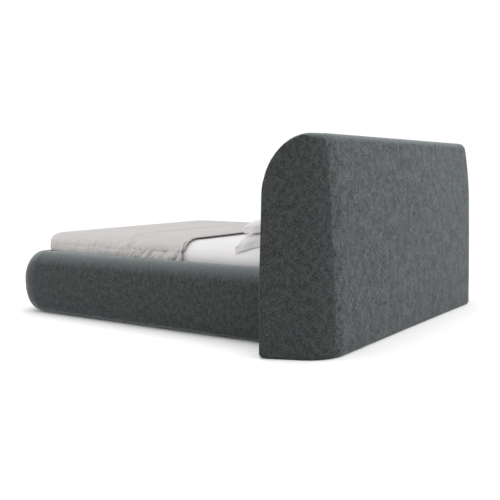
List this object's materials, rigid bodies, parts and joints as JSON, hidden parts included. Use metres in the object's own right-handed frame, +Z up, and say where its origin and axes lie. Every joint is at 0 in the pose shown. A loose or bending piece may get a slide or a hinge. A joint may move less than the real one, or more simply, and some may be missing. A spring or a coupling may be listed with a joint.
{
  "type": "upholstered bed",
  "caption": "Upholstered winged bed with a wrap-around headboard, rounded bolster rails, a slatted base, mattress and made-up bedding.",
  "frame": {"origin": "on the floor, at the middle of the bed's outline", "axes": "+Y towards the headboard, +X to the right seen from the foot, +Z up"},
  "size_m": [2.3912, 2.3198, 1.1],
  "materials": {
    "fabric_back": "woven charcoal upholstery, headboard back panel",
    "fabric_wings": "woven charcoal upholstery, wings and front",
    "fabric_rails": "woven charcoal upholstery, rails",
    "foam": "upholstery foam",
    "softwood": "planed softwood",
    "plywood": "birch plywood",
    "slat_wood": "laminated beech slats",
    "bracket_steel": "black powder-coated steel",
    "bolt_steel": "zinc-plated bolts",
    "black_plastic": "moulded glides and slat holders",
    "pad_rubber": "leg pads",
    "mattress_ticking": "white mattress ticking",
    "white_cotton": "white cotton percale",
    "greige_cotton": "washed greige cotton"
  },
  "bodies": {
    "root": {"headboard_back_cover": "fabric_back", "headboard_front_cover": "fabric_wings", "side_rail_cover_right": "fabric_rails", "side_rail_cover_left": "fabric_rails", "foot_rail_cover": "fabric_rails", "headboard_back_foam": "foam", "headboard_front_foam": "foam", "side_rail_foam_right": "foam", "side_rail_foam_left": "foam", "foot_rail_foam": "foam", "headboard_plates": "softwood", "headboard_studs": "softwood", "side_rail_board_right": "softwood", "side_rail_board_left": "softwood", "foot_rail_board": "softwood", "slat_ledge_right": "softwood", "slat_ledge_left": "softwood", "centre_beam": "softwood", "beam_legs": "softwood", "headboard_back_ply": "plywood", "headboard_front_ply": "plywood", "wing_frame_right": "plywood", "wing_frame_left": "plywood", "slats_right": "slat_wood", "slats_left": "slat_wood", "headboard_brackets": "bracket_steel", "foot_rail_brackets": "bracket_steel", "beam_hangers": "bracket_steel", "headboard_bolts": "bolt_steel", "foot_rail_bolts": "bolt_steel", "glides": "black_plastic", "slat_holders": "black_plastic", "beam_leg_pads": "pad_rubber", "mattress": "mattress_ticking", "fitted_sheet": "white_cotton", "pillow_lower_right": "white_cotton", "pillow_lower_left": "white_cotton", "pillow_upper_right": "white_cotton", "pillow_upper_left": "white_cotton", "bedspread": "greige_cotton", "throw": "greige_cotton"}
  },
  "joints": []
}
